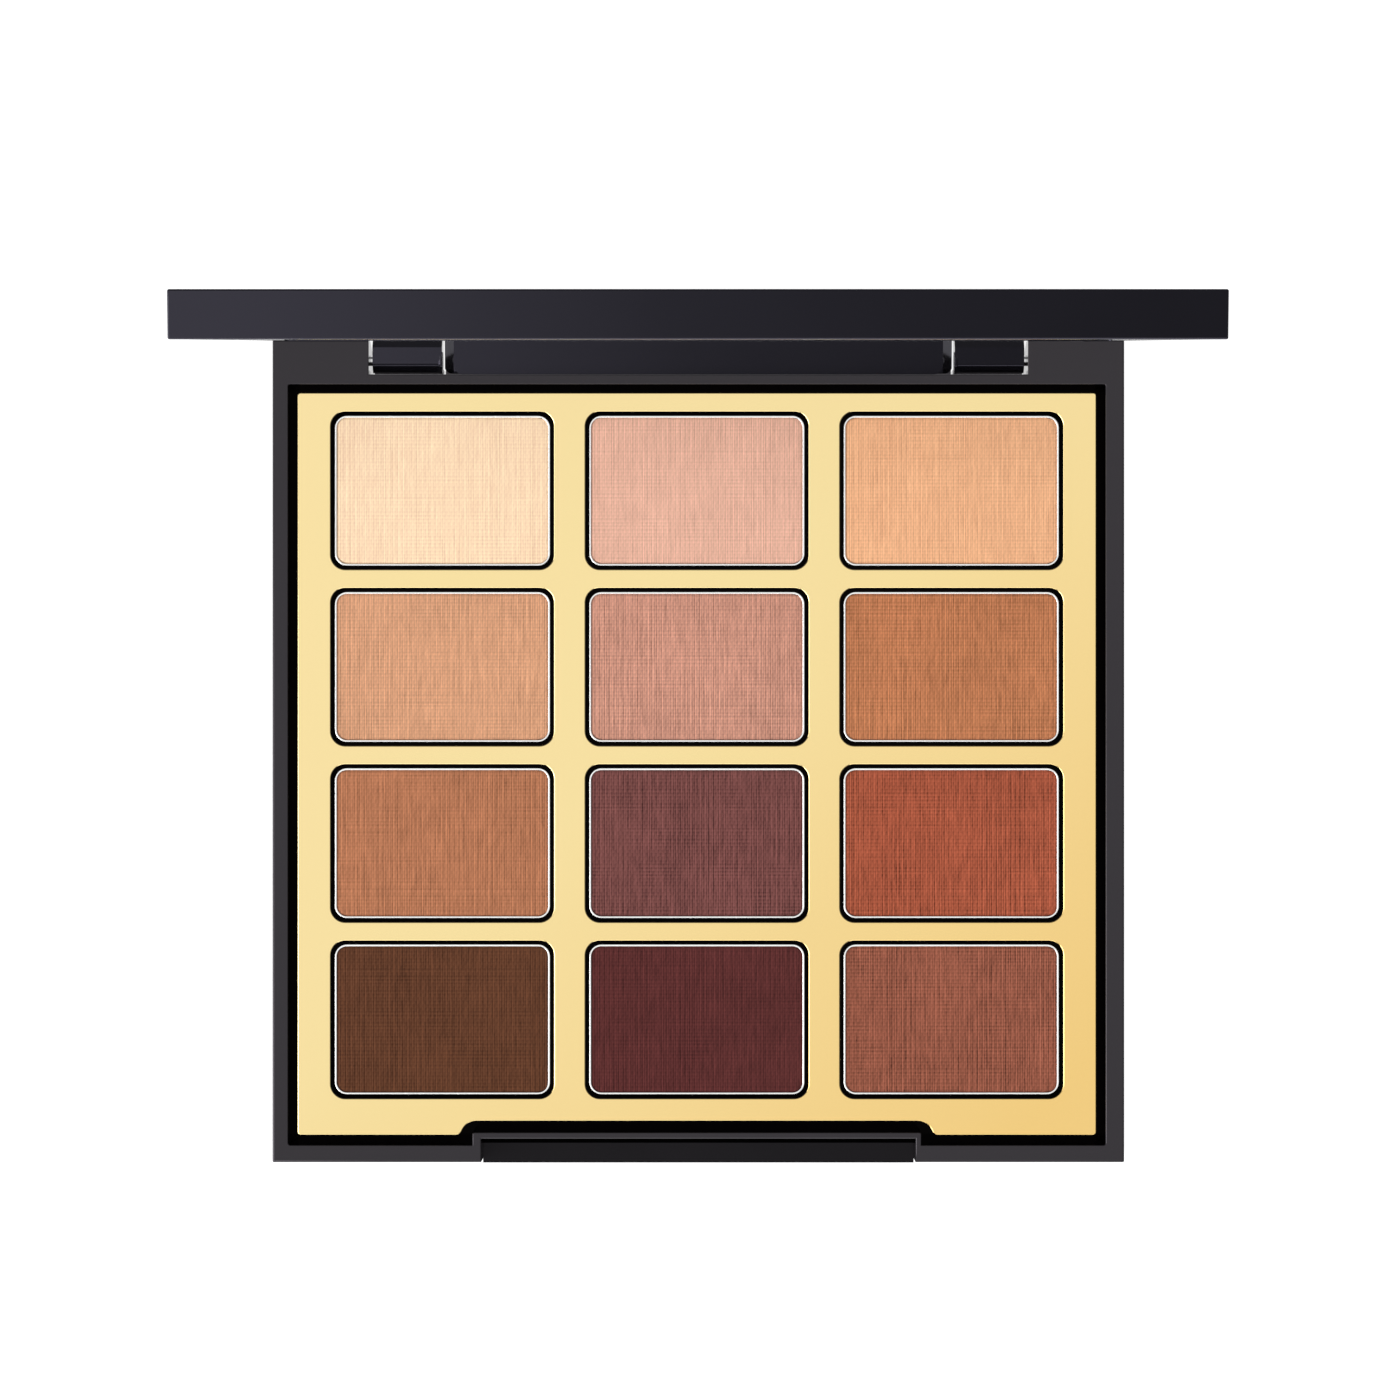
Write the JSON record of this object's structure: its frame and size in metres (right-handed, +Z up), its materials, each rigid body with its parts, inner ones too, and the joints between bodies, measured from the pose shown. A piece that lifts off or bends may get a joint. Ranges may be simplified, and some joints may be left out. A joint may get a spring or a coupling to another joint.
{
  "type": "eyeshadow palette",
  "caption": "Flat black hinged compact with a gold insert plate, rectangular pressed-powder pans and a mirrored lid that stands open.",
  "frame": {"origin": "centre of the base's underside, which is the face it rests on", "axes": "+Z up out of the base; +X to the right and -Y towards the user, with the hinge along X at the rear (+Y)"},
  "size_m": [0.118, 0.1204, 0.1174],
  "materials": {
    "case_plastic": "gloss",
    "lid_plastic": "gloss",
    "gold_plating": "satin, metallised gold",
    "pan_metal": "bright",
    "glue": "soft glue",
    "pin_steel": "bright",
    "magnet_nickel": "nickel plated",
    "tape": "matte",
    "mirror": "silvered glass",
    "powder_cream": "pressed powder, linen embossed",
    "powder_pale_pink": "pressed powder, linen embossed",
    "powder_peach": "pressed powder, linen embossed",
    "powder_tan": "pressed powder, linen embossed",
    "powder_dusty_pink": "pressed powder, linen embossed",
    "powder_caramel": "pressed powder, linen embossed",
    "powder_warm_brown": "pressed powder, linen embossed",
    "powder_plum_brown": "pressed powder, linen embossed",
    "powder_burnt_orange": "pressed powder, linen embossed",
    "powder_dark_brown": "pressed powder, linen embossed",
    "powder_burgundy": "pressed powder, linen embossed",
    "powder_brick_brown": "pressed powder, linen embossed"
  },
  "bodies": {
    "base": {"base_shell": "case_plastic", "insert_plate": "gold_plating", "insert_glue": "glue", "pan_glue": "glue", "pan_1_1": "pan_metal", "pan_1_2": "pan_metal", "pan_1_3": "pan_metal", "pan_2_1": "pan_metal", "pan_2_2": "pan_metal", "pan_2_3": "pan_metal", "pan_3_1": "pan_metal", "pan_3_2": "pan_metal", "pan_3_3": "pan_metal", "pan_4_1": "pan_metal", "pan_4_2": "pan_metal", "pan_4_3": "pan_metal", "powder_1_1": "powder_cream", "powder_1_2": "powder_pale_pink", "powder_1_3": "powder_peach", "powder_2_1": "powder_tan", "powder_2_2": "powder_dusty_pink", "powder_2_3": "powder_caramel", "powder_3_1": "powder_warm_brown", "powder_3_2": "powder_plum_brown", "powder_3_3": "powder_burnt_orange", "powder_4_1": "powder_dark_brown", "powder_4_2": "powder_burgundy", "powder_4_3": "powder_brick_brown", "hinge_pin_left": "pin_steel", "hinge_pin_right": "pin_steel", "base_magnet_left": "magnet_nickel", "base_magnet_right": "magnet_nickel"},
    "lid": {"lid_shell": "lid_plastic", "mirror_frame": "case_plastic", "mirror_tape": "tape", "mirror_glass": "mirror", "lid_magnet_left": "magnet_nickel", "lid_magnet_right": "magnet_nickel"}
  },
  "joints": [
    {"name": "lid_hinge", "type": "hinge", "parent": "base", "child": "lid", "pos_m": [0, 0.0543, 0.00585], "axis": [-1, 0, 0], "range_deg": [-84.9, 25.1]}
  ]
}
